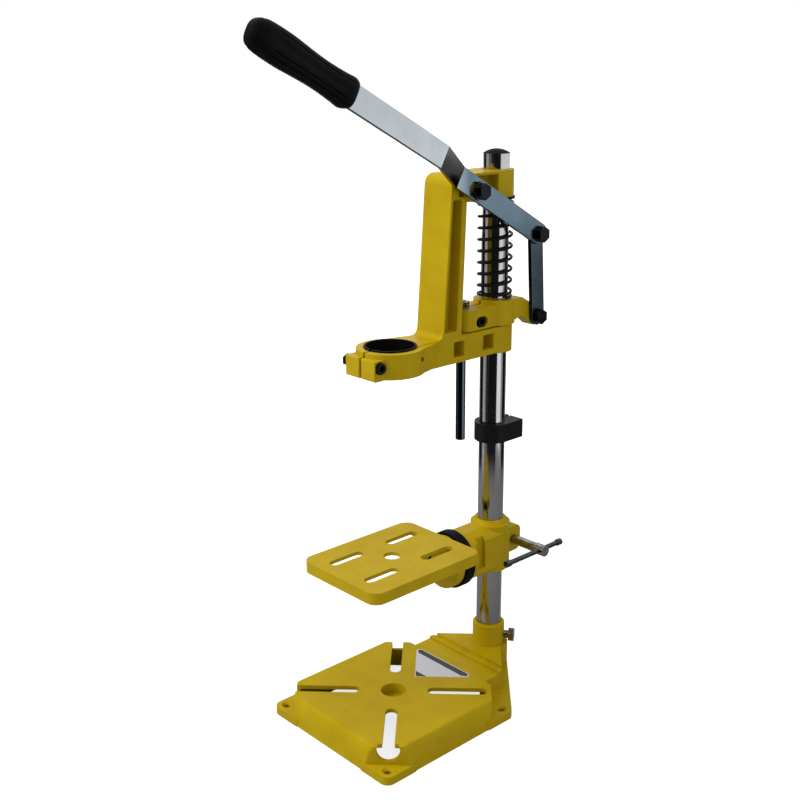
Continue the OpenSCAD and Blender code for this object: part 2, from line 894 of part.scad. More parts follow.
module guide_rod() {
    color(steel)
        translate([0, guide_y, head_lug_top + rod_out - rod_l])
            cylinder(d = rod_d, h = rod_l);
}

module guide_rod_nut() {
    color(dark_steel)
        translate([0, guide_y, head_lug_top])
            difference() {
                union() {
                    cylinder(d = rod_nut_af + washer_t, h = washer_t);
                    hex(rod_nut_af, rod_nut_h);
                }
                translate([0, 0, -over])
                    cylinder(d = rod_d + 2 * run_gap, h = rod_nut_h + 2 * over);
            }
}

// Rise of the spring wire's centre after t turns: close end turns, open ones between.
function spring_lift(t) =
    let (end = spring_wire + spring_end_gap,
        open = (spring_z1 - spring_z0 - spring_wire - 2 * end) / (spring_turns - 2),
        late = spring_turns - 1)
    t < 1 ? end * t : t < late ? end + open * (t - 1) : end + open * (late - 1) + end * (t - late);

// Centre of the wire after t turns, and the way it runs there.
function spring_at(t) =
    let (r = (spring_d - spring_wire) / 2, a = 360 * t)
    [r * cos(a), reach + r * sin(a), spring_z0 + spring_wire / 2 + spring_lift(t)];
function spring_way(t) = [-sin(360 * t), cos(360 * t), 0];

// The ring of points round the wire at a place on its path, square to its way.
function spring_ring(at, t) =
    [for (k = [0 : spring_sides - 1])
        let (b = 360 * k / spring_sides)
            at + spring_wire / 2 * [cos(b) * cos(360 * t), cos(b) * sin(360 * t), sin(b)]];

module return_spring() {
    steps = round(spring_turns * spring_rings);
    path = [for (i = [0 : steps]) spring_at(i * spring_turns / steps)];
    // Both ends run straight for one wire diameter.
    points = concat(
        spring_ring(path[0] - spring_wire * spring_way(0), 0),
        [for (i = [0 : steps]) each spring_ring(path[i], i * spring_turns / steps)],
        spring_ring(path[steps] + spring_wire * spring_way(spring_turns), spring_turns));
    last = (steps + 2) * spring_sides;
    sides = [for (i = [0 : steps + 1], k = [0 : spring_sides - 1])
        let (a = i * spring_sides + k, b = i * spring_sides + (k + 1) % spring_sides)
            each [[a, b, b + spring_sides], [a, b + spring_sides, a + spring_sides]]];
    ends = [for (k = [1 : spring_sides - 2])
        each [[0, k + 1, k], [last, last + k, last + k + 1]]];
    // The least distance between turns, measured from half a turn to one and a half apart.
    gaps = [for (i = [0 : steps], j = [i + spring_rings / 2 : min(steps, i + 3 * spring_rings / 2)])
        norm(path[i] - path[j]) - spring_wire];
    echo(least_spring_gap = min(gaps));
    color(black)
        polyhedron(points = points, faces = concat(sides, ends), convexity = 12);
}

module link_pivot_bolt() {
    head_x = link_x + lever_t + face_gap;
    color(dark_steel) {
        bar_x(pivot_d, arm_c_x[0], head_x, pin_c[0], pin_c[1]);
        hex_x(pivot_af, head_x, head_x + pivot_head, pin_c[0], pin_c[1]);
    }
}

// Carriage

// The C-shaped frame seen from the side, in (y, z).
module frame_2d() {
    difference() {
        union() {
            polygon([[reach, carriage_top], [front_y[1] + nose_r, carriage_top],
                [front_y[1], carriage_top - nose_r], [front_y[0], low_top], [0, low_top],
                [0, low_bot], [reach, low_bot]]);
            translate([front_y[1] + nose_r, carriage_top - nose_r])
                circle(r = nose_r);
            translate([reach - over, high_bot])
                square([high_arm_out + over, arm_h]);
            translate([front_y[0] - foot_r, low_top])
                difference() {
                    translate([0, -over])
                        square(foot_r + over);
                    translate([0, foot_r])
                        circle(r = foot_r);
                }
        }
        polygon([[reach + over, low_top], [back_y[0], low_top], [back_y[1], high_bot],
            [reach + over, high_bot]]);
    }
}

// The side pockets that leave a web with rims, in (y, z).
module pockets_2d() {
    low = low_top + rim_t;
    high = high_bot + rim_t / 2;
    polygon([[front_y[0] + front_rim_t, low], [back_y[0] - rim_t, low],
        [back_y[1] - rim_t, high], [front_y[1] + front_rim_t, high]]);
    for (y = low_pocket_y)
        translate([guide_y + y[0], low_bot + rim_t])
            square([y[1] - y[0], arm_h - 2 * rim_t]);
    difference() {
        translate([reach - high_pocket_out[0], high_bot + rim_t])
            square([high_pocket_out[0] - high_pocket_out[1], arm_h - rim_t - thin_rim_t]);
        translate(pin_a)
            circle(d = pin_boss_d);
    }
}

// Everything that is cast in one piece, before it is bored.
module carriage_casting() {
    side = carriage_w / 2;
    difference() {
        along_x(-side, side)
            frame_2d();
        for (m = [0, 1])
            mirror([m, 0, 0])
                along_x(web_t / 2, side + over)
                    pockets_2d();
    }
    translate([0, reach, carriage_z])
        cylinder(d = low_sleeve_d, h = low_top - carriage_z);
    translate([0, reach, high_bot])
        cylinder(d = high_sleeve_d, h = arm_h);
    translate([0, guide_y, low_bot])
        cylinder(d = guide_boss_d, h = arm_h);
    bar_x(pin_boss_d, 0, pin_boss_x, pin_a[0], pin_a[1]);
    translate([0, 0, collar_z])
        cylinder(d = collar_d, h = collar_h);
    translate([-collar_ear_x, -collar_ear_y, collar_z])
        cube([2 * collar_ear_x, collar_ear_y, collar_h - collar_ear_drop]);
    translate([0, 0, collar_z])
        linear_extrude(collar_h)
            for (side = [0, 1])
                mirror([side, 0, 0])
                    polygon([[0, collar_web[0][1]], collar_web[0], collar_web[1],
                        [0, collar_web[1][1]]]);
    bar_x(set_boss_d, 0, set_boss_x, set_hole[0], collar_z + set_hole[1]);
}

module carriage() {
    color(yellow)
        difference() {
            carriage_casting();
            column_hole(carriage_z - over, carriage_top + over);
            translate([0, guide_y, low_bot - over])
                cylinder(d = rod_d + 2 * run_gap, h = arm_h + 2 * over);
            translate([0, 0, carriage_z - over])
                cylinder(d = insert_d, h = collar_lift + collar_h + 2 * over);
            translate([-slit_w / 2, -collar_ear_y - over, collar_z - over])
                cube([slit_w, collar_ear_y, collar_h + 2 * over]);
            bar_x(collar_screw_d + 2 * run_gap, -2 * collar_ear_x, 2 * collar_ear_x,
                collar_screw_y, collar_screw_z);
            bar_x(cap_head_share * collar_screw_d + over, collar_ear_x - collar_sink,
                collar_ear_x + over, collar_screw_y, collar_screw_z);
            bar_x(set_hole_d, insert_d / 4, collar_d, set_hole[0], collar_z + set_hole[1]);
            bar_x(slot_pin_d + 2 * run_gap, 0, pin_boss_x + over, pin_a[0], pin_a[1]);
        }
}

module collar_insert() {
    color(black)
        translate([0, 0, collar_z])
            difference() {
                cylinder(d = insert_d - 2 * run_gap, h = collar_h + insert_proud);
                translate([0, 0, -over])
                    cylinder(d = collar_bore_d, h = collar_h + insert_proud + 2 * over);
                translate([-slit_w / 2, -insert_d, -over])
                    cube([slit_w, insert_d, collar_h + insert_proud + 2 * over]);
            }
}

module collar_clamp_screw() {
    color(dark_steel)
        cap_screw_x(collar_screw_d, -collar_ear_x - collar_screw_d, collar_ear_x - collar_sink,
            collar_screw_y, collar_screw_z);
}

module collar_clamp_nut() {
    color(dark_steel)
        difference() {
            hex_x(nut_af_share * collar_screw_d, -collar_ear_x - nut_high_share * collar_screw_d,
                -collar_ear_x, collar_screw_y, collar_screw_z);
            bar_x(collar_screw_d + 2 * run_gap, -2 * collar_ear_x, 0, collar_screw_y, collar_screw_z);
        }
}

module slot_pin_bolt() {
    head_x = lever_x + lever_t + face_gap + washer_t;
    color(dark_steel) {
        bar_x(slot_pin_d, 0, head_x, pin_a[0], pin_a[1]);
        hex_x(slot_pin_af, head_x, head_x + slot_pin_head, pin_a[0], pin_a[1]);
    }
}

module slot_pin_washer() {
    x = lever_x + lever_t + face_gap;
    color(steel)
        difference() {
            bar_x(slot_pin_washer_d, x, x + washer_t, pin_a[0], pin_a[1]);
            bar_x(slot_pin_d + 2 * run_gap, x - over, x + washer_t + over, pin_a[0], pin_a[1]);
        }
}

module spring_washer() {
    color(black)
        translate([0, reach, spring_z1])
            difference() {
                cylinder(d = spring_d + washer_t, h = spring_washer_t + face_gap);
                translate([0, 0, -over])
                    cylinder(d = col_d + 2 * face_gap, h = spring_washer_t + 2 * over);
            }
}

// Link and lever

module lift_link() {
    up = pin_b - pin_c;
    turn = atan2(up[1], up[0]);
    color(steel)
        difference() {
            along_x(link_x, link_x + lever_t)
                translate((pin_b + pin_c) / 2)
                    rotate(turn)
                        slot_2d(norm(up) + link_w, link_w);
            for (p = [pin_b, pin_c])
                bar_x(pivot_d + 2 * run_gap, link_x - over, link_x + lever_t + over, p[0], p[1]);
        }
}

module lever_pivot_bolt() {
    head_x = lever_x + lever_t + face_gap;
    color(dark_steel) {
        bar_x(pivot_d, link_x - pivot_head - thread_out, head_x, pin_b[0], pin_b[1]);
        hex_x(pivot_af, head_x, head_x + pivot_head, pin_b[0], pin_b[1]);
    }
}

module lever_pivot_nut() {
    color(dark_steel)
        difference() {
            hex_x(pivot_af, link_x - pivot_head, link_x, pin_b[0], pin_b[1]);
            bar_x(pivot_d + 2 * run_gap, 0, link_x + over, pin_b[0], pin_b[1]);
        }
}

// Places what is drawn in the lever's own frame: Y runs from B through A to the
// grip, Z across the bar, and X is the stand's own.
module lever_frame() {
    translate([0, pin_b[0], pin_b[1]])
        rotate([-lever_angle, 0, 0])
            mirror([0, 1, 0])
                children();
}

// How far the bar's middle has sunk across its width at a place behind the bend.
function sunk(u) = jog_drop + (u - jog_u[1]) * tan(droop);

// The bar's outline along its length and across its width, with the narrow tang.
module lever_side_2d() {
    half = lever_w / 2;
    tang = tang_w / 2;
    end = grip_u + tang_l;
    polygon([[0, half], [jog_u[0], half], [jog_u[1], half - jog_drop],
        [grip_u, half - sunk(grip_u)], [grip_u, tang - sunk(grip_u)], [end, tang - sunk(end)],
        [end, -tang - sunk(end)], [grip_u, -tang - sunk(grip_u)], [grip_u, -half - sunk(grip_u)],
        [jog_u[1], -half - jog_drop], [jog_u[0], -half], [0, -half]]);
}

// The bar before it is bored: two flat runs joined by a sideways bend.
module lever_blank() {
    near = [lever_x, lever_x + lever_t];
    far = near + [jog_x, jog_x];
    end = grip_u + tang_l;
    bar_x(lever_w, near[0], near[1], 0, 0);
    intersection() {
        along_x(near[0] - over, far[1] + over)
            lever_side_2d();
        translate([0, 0, -2 * lever_w])
            linear_extrude(4 * lever_w)
                polygon([[near[0], 0], [near[1], 0], [near[1], jog_u[0]],
                    [far[1], jog_u[1]], [far[1], end], [far[0], end], [far[0], jog_u[1]],
                    [near[0], jog_u[0]]]);
    }
}

module lever_bar() {
    slot_ends = [lever_ab - slot_to_b, lever_ab + slot_to_grip];
    slot_r = slot_pin_d / 2 + slot_play;
    color(steel)
        lever_frame()
            difference() {
                lever_blank();
                bar_x(pivot_d + 2 * run_gap, lever_x - over, lever_x + lever_t + over, 0, 0);
                for (u = slot_ends)
                    bar_x(2 * slot_r, lever_x - over, lever_x + lever_t + over, u, 0);
                translate([lever_x - over, slot_ends[0], -slot_r])
                    cube([lever_t + 2 * over, slot_ends[1] - slot_ends[0], 2 * slot_r]);
            }
}

// A point of a squarish oval with radii of 1, at an angle.
function oval(a) = [for (v = [cos(a), sin(a)]) sign(v) * pow(abs(v), 2 / grip_power)];

// The moulded grip: squarish rings along the bar, narrower at the waist.
module lever_grip() {
    grip_x = lever_x + lever_t / 2 + jog_x;
    points = [for (g = grip_shares, k = [0 : grip_sides - 1])
        let (p = g[1] * oval(360 * k / grip_sides))
            [grip_t / 2 * p[0], grip_l * g[0], grip_w / 2 * p[1]]];
    last = (len(grip_shares) - 1) * grip_sides;
    skin = [for (i = [0 : len(grip_shares) - 2], k = [0 : grip_sides - 1])
        let (a = i * grip_sides + k, b = i * grip_sides + (k + 1) % grip_sides)
            each [[a, b, b + grip_sides], [a, b + grip_sides, a + grip_sides]]];
    ends = [for (k = [1 : grip_sides - 2])
        each [[0, k + 1, k], [last, last + k, last + k + 1]]];
    color(black)
        lever_frame()
            difference() {
                translate([grip_x, grip_u, -sunk(grip_u)])
                    rotate([-droop, 0, 0])
                        polyhedron(points = points, faces = concat(skin, ends), convexity = 4);
                lever_blank();
            }
}

base();
column();
column_cap();
base_set_screw();
stop_collar();
stop_collar_screw();
table_block();
index_disc();
table_pivot_stud();
table_pivot_nut();
tilt_table();
table_clamp_screw();
tommy_bar();
head_block();
head_clamp_screw();
head_clamp_nut();
guide_rod();
guide_rod_nut();
return_spring();
link_pivot_bolt();
carriage();
collar_insert();
collar_clamp_screw();
collar_clamp_nut();
slot_pin_bolt();
slot_pin_washer();
spring_washer();
lift_link();
lever_pivot_bolt();
lever_pivot_nut();
lever_bar();
lever_grip();
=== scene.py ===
"""The looks of the bench drill stand: finishes, edges, threads, grip, spring, light, camera.

Everything is in metres, in the stand's own frame: the origin on the bench under the drill
axis, +Z up, the column at +Y and the lever on the +X side.
"""
import json
import math

import bmesh
import bpy
from mathutils import Matrix, Vector


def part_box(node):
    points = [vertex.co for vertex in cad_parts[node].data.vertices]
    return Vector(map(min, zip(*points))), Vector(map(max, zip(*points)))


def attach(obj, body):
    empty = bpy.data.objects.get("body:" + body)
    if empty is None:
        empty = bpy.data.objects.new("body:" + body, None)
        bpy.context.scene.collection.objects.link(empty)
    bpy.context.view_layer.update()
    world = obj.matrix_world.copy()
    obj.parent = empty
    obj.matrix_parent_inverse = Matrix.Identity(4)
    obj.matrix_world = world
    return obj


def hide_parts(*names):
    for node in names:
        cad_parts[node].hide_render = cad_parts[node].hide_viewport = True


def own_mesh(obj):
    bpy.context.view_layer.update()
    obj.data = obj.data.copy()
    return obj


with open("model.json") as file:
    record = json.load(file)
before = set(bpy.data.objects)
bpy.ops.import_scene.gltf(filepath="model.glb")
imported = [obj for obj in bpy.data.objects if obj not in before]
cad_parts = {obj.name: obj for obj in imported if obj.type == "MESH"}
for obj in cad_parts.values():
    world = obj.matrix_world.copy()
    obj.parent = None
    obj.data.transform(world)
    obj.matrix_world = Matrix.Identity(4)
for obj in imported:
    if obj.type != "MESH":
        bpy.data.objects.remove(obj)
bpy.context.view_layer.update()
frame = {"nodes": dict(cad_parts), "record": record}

MM = 0.001
NODES = frame["nodes"]
NODE_BODY = {node: body for body, nodes in frame["record"]["behaviour"]["bodies"].items()
             for node in nodes}

# The photograph's view: azimuth, elevation and roll in degrees, the eye in metres
VIEW_AZIMUTH = 47.667
VIEW_ELEVATION = 16.932
VIEW_ROLL = -0.403
VIEW_EYE = Vector((0.71839, -0.64334, 0.60820))
SENSOR = 36.0
LENS = 51.58

# Colours of the finishes, linear
YELLOW = (0.49, 0.35, 0.004)
YELLOW_WORN = (0.44, 0.295, 0.003)
CHROME = (0.46, 0.465, 0.47)
ZINC = (0.46, 0.50, 0.53)
# Painted dark reflection on the zinc: dimmer towards the column, then darker still
ZINC_PAINTED_DIM_REFLECTION = (0.11, 0.165, 0.21)
ZINC_PAINTED_DARK_REFLECTION = (0.085, 0.115, 0.145)
# Painted dark reflection on faces of the flat bars that don't look sideways
ZINC_RIM_PAINTED_REFLECTION = (0.035, 0.04, 0.042)
DARK_STEEL = (0.009, 0.0095, 0.011)
WORN_STEEL = (0.05, 0.051, 0.054)
BARE_STEEL = (0.19, 0.188, 0.175)
BLACK_PAINT = (0.006, 0.006, 0.0065)
BLACK_PLASTIC = (0.003, 0.003, 0.0033)
LABEL_WHITE = (0.62, 0.62, 0.68)
LABEL_BLACK = (0.022, 0.016, 0.010)

# Roughness of the finishes: where they are smoothest and where they are roughest
YELLOW_GLOSS = (0.32, 0.46)
CHROME_GLOSS = (0.07, 0.17)
ZINC_GLOSS = (0.14, 0.24)
DARK_STEEL_GLOSS = (0.28, 0.45)
WORN_STEEL_GLOSS = (0.22, 0.4)
BARE_STEEL_GLOSS = (0.13, 0.28)
PAINT_GLOSS = (0.28, 0.42)
PLASTIC_GLOSS = (0.42, 0.58)
FILM_ROUGHNESS = 0.3
# Low indices, since the photograph's paint and plastic shine little
PAINT_IOR = 1.16
PLASTIC_IOR = 1.14
COAT_WEIGHT = 0.05
COAT_ROUGHNESS = 0.15
# Where along Y, in metres, the zinc's painted dark reflection begins, and where it deepens
# further
DIM_REFLECTION_FROM = (0.045, 0.07)
DARK_REFLECTION_FROM = (0.12, 0.19)
# How far a face of the flat bars looks sideways where the painted dark reflection on its rims
# begins and ends
RIM_REFLECTION_FROM = (0.93, 0.99)

column_low, column_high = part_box("column")
COLUMN_AXIS = Vector(((column_low.x + column_high.x) / 2, (column_low.y + column_high.y) / 2, 0))


# Materials

def new_material(name):
    """A material with nothing in it but its shader: the material, its tree and the shader."""
    material = bpy.data.materials.new(name)
    material.use_nodes = True
    tree = material.node_tree
    tree.nodes.clear()
    out = tree.nodes.new("ShaderNodeOutputMaterial")
    shader = tree.nodes.new("ShaderNodeBsdfPrincipled")
    tree.links.new(shader.outputs["BSDF"], out.inputs["Surface"])
    return material, tree, shader


def object_place(tree, scale=(1, 1, 1)):
    """The surface's own place in metres, stretched by a scale along each axis."""
    place = tree.nodes.new("ShaderNodeTexCoord")
    mapping = tree.nodes.new("ShaderNodeMapping")
    mapping.inputs["Scale"].default_value = scale
    tree.links.new(place.outputs["Object"], mapping.inputs["Vector"])
    return mapping.outputs["Vector"]


def noise(tree, vector, lumps, detail, roughness=0.55):
    """Noise between 0 and 1 with a given number of lumps per metre."""
    node = tree.nodes.new("ShaderNodeTexNoise")
    node.inputs["Scale"].default_value = lumps
    node.inputs["Detail"].default_value = detail
    node.inputs["Roughness"].default_value = roughness
    tree.links.new(vector, node.inputs["Vector"])
    return node.outputs["Fac"]


def spread(tree, value, stretch=(0, 1), onto=(0, 1)):
    """Maps a stretch of a value onto another one."""
    node = tree.nodes.new("ShaderNodeMapRange")
    node.inputs["From Min"].default_value = stretch[0]
    node.inputs["From Max"].default_value = stretch[1]
    node.inputs["To Min"].default_value = onto[0]
    node.inputs["To Max"].default_value = onto[1]
    tree.links.new(value, node.inputs["Value"])
    return node.outputs["Result"]


def times(share, colour):
    """A colour made darker or brighter by a share."""
    return tuple(share * part for part in colour)


def colour_mixer(tree, factor):
    """The two inputs and the result of a node that mixes colours by a factor."""
    node = tree.nodes.new("ShaderNodeMix")
    node.data_type = "RGBA"
    tree.links.new(factor, node.inputs["Factor"])
    places = {plug.identifier: plug for plug in node.inputs}
    results = {plug.identifier: plug for plug in node.outputs}
    return places["A_Color"], places["B_Color"], results["Result_Color"]


def blend_colours(tree, factor, first, second):
    """A mix of two plain colours by a factor."""
    low, high, result = colour_mixer(tree, factor)
    low.default_value = (*first, 1)
    high.default_value = (*second, 1)
    return result


def mix_colours(tree, factor, first, second):
    """A mix of two colour outputs by a factor."""
    low, high, result = colour_mixer(tree, factor)
    tree.links.new(first, low)
    tree.links.new(second, high)
    return result


def bump(tree, shader, height, distance, strength):
    """Raises the surface by a height field, distance metres at most at full strength."""
    node = tree.nodes.new("ShaderNodeBump")
    node.inputs["Distance"].default_value = distance
    node.inputs["Strength"].default_value = strength
    tree.links.new(height, node.inputs["Height"])
    tree.links.new(node.outputs["Normal"], shader.inputs["Normal"])


def yellow_paint():
    """Glossy enamel over a sand casting: slightly pebbled, with patches of thinner paint."""
    material, tree, shader = new_material("yellow_paint")
    place = object_place(tree)
    patches = spread(tree, noise(tree, place, lumps=38, detail=5), (0.35, 0.72))
    tree.links.new(blend_colours(tree, patches, YELLOW, YELLOW_WORN), shader.inputs["Base Color"])
    gloss = spread(tree, noise(tree, place, lumps=90, detail=3), (0.3, 0.7), YELLOW_GLOSS)
    tree.links.new(gloss, shader.inputs["Roughness"])
    pebbles = noise(tree, place, lumps=420, detail=5, roughness=0.6)
    bump(tree, shader, pebbles, distance=0.22 * MM, strength=0.5)
    shader.inputs["IOR"].default_value = PAINT_IOR
    shader.inputs["Coat Weight"].default_value = COAT_WEIGHT
    shader.inputs["Coat Roughness"].default_value = COAT_ROUGHNESS
    return material


def chrome_tube():
    """Polished tube with faint drawing lines along its length."""
    material, tree, shader = new_material("chrome_tube")
    lines = noise(tree, object_place(tree, (1, 1, 0.02)), lumps=900, detail=3)
    smears = noise(tree, object_place(tree), lumps=25, detail=4)
    shader.inputs["Metallic"].default_value = 1.0
    tree.links.new(blend_colours(tree, smears, CHROME, times(0.86, CHROME)),
                   shader.inputs["Base Color"])
    tree.links.new(spread(tree, smears, (0.3, 0.75), CHROME_GLOSS), shader.inputs["Roughness"])
    bump(tree, shader, lines, distance=0.02 * MM, strength=0.35)
    return material


def zinc_steel():
    """Zinc-plated steel, brushed along the piece and clouded, with a painted dark reflection that
    deepens and turns bluer along Y.

    The painted dark reflection grows towards the column. Faces that don't look to the side, such
    as the rims of the flat bars and the lever's bend, are painted dark as a dark reflection.
    """
    material, tree, shader = new_material("zinc_steel")
    place = object_place(tree)
    clouds = noise(tree, place, lumps=60, detail=5, roughness=0.6)
    clouds = spread(tree, clouds, (0.35, 0.7))
    brush = noise(tree, object_place(tree, (1, 0.06, 0.06)), lumps=700, detail=3)
    clouded_zinc = blend_colours(tree, clouds, ZINC, times(0.9, ZINC))
    parts = tree.nodes.new("ShaderNodeSeparateXYZ")
    tree.links.new(place, parts.inputs["Vector"])
    # Painted dark reflection: the zinc turns darker and bluer along Y, towards the column
    painted_dim_reflection = blend_colours(tree, spread(tree, parts.outputs["Y"], DARK_REFLECTION_FROM),
                          ZINC_PAINTED_DIM_REFLECTION, ZINC_PAINTED_DARK_REFLECTION)
    near_column = spread(tree, parts.outputs["Y"], DIM_REFLECTION_FROM)
    shade = mix_colours(tree, near_column, clouded_zinc, painted_dim_reflection)
    coordinates = tree.nodes.new("ShaderNodeTexCoord")
    normal = tree.nodes.new("ShaderNodeSeparateXYZ")
    tree.links.new(coordinates.outputs["Normal"], normal.inputs["Vector"])
    sideways = tree.nodes.new("ShaderNodeMath")
    sideways.operation = "ABSOLUTE"
    tree.links.new(normal.outputs["X"], sideways.inputs[0])
    # Painted dark reflection on faces that don't look to the side
    rim = spread(tree, sideways.outputs["Value"], RIM_REFLECTION_FROM, (1, 0))
    dark = tree.nodes.new("ShaderNodeRGB")
    dark.outputs["Color"].default_value = (*ZINC_RIM_PAINTED_REFLECTION, 1)
    tree.links.new(mix_colours(tree, rim, shade, dark.outputs["Color"]),
                   shader.inputs["Base Color"])
    shader.inputs["Metallic"].default_value = 1.0
    tree.links.new(spread(tree, clouds, onto=ZINC_GLOSS), shader.inputs["Roughness"])
    bump(tree, shader, brush, distance=0.04 * MM, strength=0.5)
    return material


def screw_steel(name, colour, gloss):
    """Screws and nuts with an oily sheen, stained in places to a paler tone of their colour."""
    material, tree, shader = new_material(name)
    place = object_place(tree)
    stain = spread(tree, noise(tree, place, lumps=260, detail=4), (0.35, 0.7))
    tree.links.new(blend_colours(tree, stain, colour, times(2.3, colour)),
                   shader.inputs["Base Color"])
    shader.inputs["Metallic"].default_value = 1.0
    tree.links.new(spread(tree, stain, onto=gloss), shader.inputs["Roughness"])
    grain = noise(tree, place, lumps=1500, detail=3)
    bump(tree, shader, grain, distance=0.03 * MM, strength=0.4)
    return material


def black_paint():
    """Semi-gloss black paint on the stop collar and the spring."""
    material, tree, shader = new_material("black_paint")
    place = object_place(tree)
    dust = noise(tree, place, lumps=150, detail=4)
    tree.links.new(blend_colours(tree, dust, BLACK_PAINT, times(2.2, BLACK_PAINT)),
                   shader.inputs["Base Color"])
    gloss = spread(tree, noise(tree, place, lumps=200, detail=3), (0.3, 0.7), PAINT_GLOSS)
    tree.links.new(gloss, shader.inputs["Roughness"])
    shader.inputs["IOR"].default_value = PAINT_IOR
    grain = noise(tree, place, lumps=900, detail=4)
    bump(tree, shader, grain, distance=0.04 * MM, strength=0.5)
    return material


def black_plastic():
    """Moulded black plastic with a fine eroded texture."""
    material, tree, shader = new_material("black_plastic")
    place = object_place(tree)
    dust = noise(tree, place, lumps=120, detail=4)
    tree.links.new(blend_colours(tree, dust, BLACK_PLASTIC, times(1.7, BLACK_PLASTIC)),
                   shader.inputs["Base Color"])
    gloss = spread(tree, noise(tree, place, lumps=300, detail=3), (0.3, 0.7), PLASTIC_GLOSS)
    tree.links.new(gloss, shader.inputs["Roughness"])
    shader.inputs["IOR"].default_value = PLASTIC_IOR
    grain = noise(tree, place, lumps=2200, detail=4, roughness=0.7)
    bump(tree, shader, grain, distance=0.06 * MM, strength=0.6)
    return material


def printed_film(name, colour):
    """Glossy printed film, slightly uneven in tone."""
    material, tree, shader = new_material(name)
    tone = noise(tree, object_place(tree), lumps=240, detail=3)
    tree.links.new(blend_colours(tree, tone, colour, times(0.9, colour)),
                   shader.inputs["Base Color"])
    shader.inputs["Roughness"].default_value = FILM_ROUGHNESS
    return material


def set_material(obj, material):
    """Gives an object one material all over."""
    obj.data.materials.clear()
    obj.data.materials.append(material)


# Meshes

# Points of a solid closer than this are one point, and faces closer than this angle, in
# degrees, are one face
MERGE_DISTANCE = 0.002 * MM
MERGE_ANGLE = 0.8
# Edges sharper than this, in degrees, are rounded, in this many steps
ROUND_SHARP = 32
ROUND_STEPS = 3
# Castings have short edges that would narrow every rounding, so only their roomy edges are
# rounded: those with no edge beside them under this many times the radius
CAST_NODES = ("base", "carriage", "head_block", "table_block", "tilt_table")
SHORT_EDGE_SHARE = 2.6
# A face this many times as large as the next one is a flat, and is shaded apart from it
# where they meet at more than this angle, in degrees
FLAT_SHARE = 6
FLAT_SHARP = 6
# Faces of rounded pieces that meet at more than this angle, in degrees, are shaded apart.
# The lever's bend has its own angle, so that it stays crisp
SOFT_SHARP = 40
BEND_SHARP = 20
# The same for the plain solids, the wire and the turned pieces
SOLID_SHARP = 30
WIRE_SHARP = 35
TURNED_SHARP = 50


def link_shape(name, shape, material):
    """An object in the scene with a bmesh's form, which is used up, and one material."""
    mesh = bpy.data.meshes.new(name)
    shape.to_mesh(mesh)
    shape.free()
    piece = bpy.data.objects.new(name, mesh)
    bpy.context.scene.collection.objects.link(piece)
    set_material(piece, material)
    return piece


def add_piece(name, shape, body, slot):
    """A piece that rides on a body and takes its slot's material."""
    piece = link_shape(name, shape, MATERIALS[slot])
    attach(piece, body)
    return piece


def apply_modifiers(piece):
    """Bakes a piece's modifiers into its mesh."""
    bpy.context.view_layer.update()
    graph = bpy.context.evaluated_depsgraph_get()
    mesh = bpy.data.meshes.new_from_object(piece.evaluated_get(graph))
    piece.modifiers.clear()
    old = piece.data
    piece.data = mesh
    bpy.data.meshes.remove(old)


def mark_roundable(shape, width, hollows):
    """Gives full bevel weight to the sharp edges that have room for a rounding.

    An edge beside a much shorter one is left out, since its rounding would run past it, and
    so are edges in hollow corners, unless those are wanted too.
    """
    weight = shape.edges.layers.float.new("bevel_weight_edge")
    room = SHORT_EDGE_SHARE * width
    for edge in shape.edges:
        if len(edge.link_faces) != 2 or edge.calc_face_angle(0) < math.radians(ROUND_SHARP):
            continue
        if not (hollows or edge.is_convex):
            continue
        beside = [other for vert in edge.verts for other in vert.link_edges]
        if min(other.calc_length() for other in beside) > room:
            edge[weight] = 1.0


def part_flats(piece, limit):
    """Smooth shading up to an angle in degrees, which also stops where a flat meets a strip."""
    shape = bmesh.new()
    shape.from_mesh(piece.data)
    for face in shape.faces:
        face.smooth = True
    for edge in shape.edges:
        areas = sorted(face.calc_area() for face in edge.link_faces)
        angle = math.degrees(edge.calc_face_angle(0))
        uneven = areas[-1] > FLAT_SHARE * areas[0]
        edge.smooth = angle < limit and not (uneven and angle > FLAT_SHARP)
    shape.to_mesh(piece.data)
    shape.free()


def round_edges(node, width):
    """A copy of a CAD node with its edges rounded off, which stands for the node."""
    shape = bmesh.new()
    shape.from_mesh(NODES[node].data)
    bmesh.ops.remove_doubles(shape, verts=shape.verts, dist=MERGE_DISTANCE)
    bmesh.ops.dissolve_limit(shape, angle_limit=math.radians(MERGE_ANGLE), verts=shape.verts,
                             edges=shape.edges)
    cast = node in CAST_NODES
    if cast:
        mark_roundable(shape, width, hollows=node != "tilt_table")
    piece = add_piece(node + "_soft", shape, NODE_BODY[node], SLOTS[node])
    rounding = piece.modifiers.new("round", "BEVEL")
    rounding.width = width
    rounding.segments = ROUND_STEPS
    rounding.limit_method = "WEIGHT" if cast else "ANGLE"
    rounding.angle_limit = math.radians(ROUND_SHARP)
    rounding.use_clamp_overlap = not cast
    rounding.miter_outer = "MITER_ARC"
    apply_modifiers(piece)
    part_flats(piece, BEND_SHARP if node == "lever_bar" else SOFT_SHARP)
    piece.modifiers.new("triangles", "TRIANGULATE").min_vertices = 5
    apply_modifiers(piece)
    piece.modifiers.new("even", "WEIGHTED_NORMAL").keep_sharp = True
    apply_modifiers(piece)
    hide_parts(node)


def smooth(piece, angle):
    """Smooth shading, with edges sharper than an angle in degrees left sharp."""
    for polygon in piece.data.polygons:
        polygon.use_smooth = True
    piece.data.set_sharp_from_angle(angle=math.radians(angle))


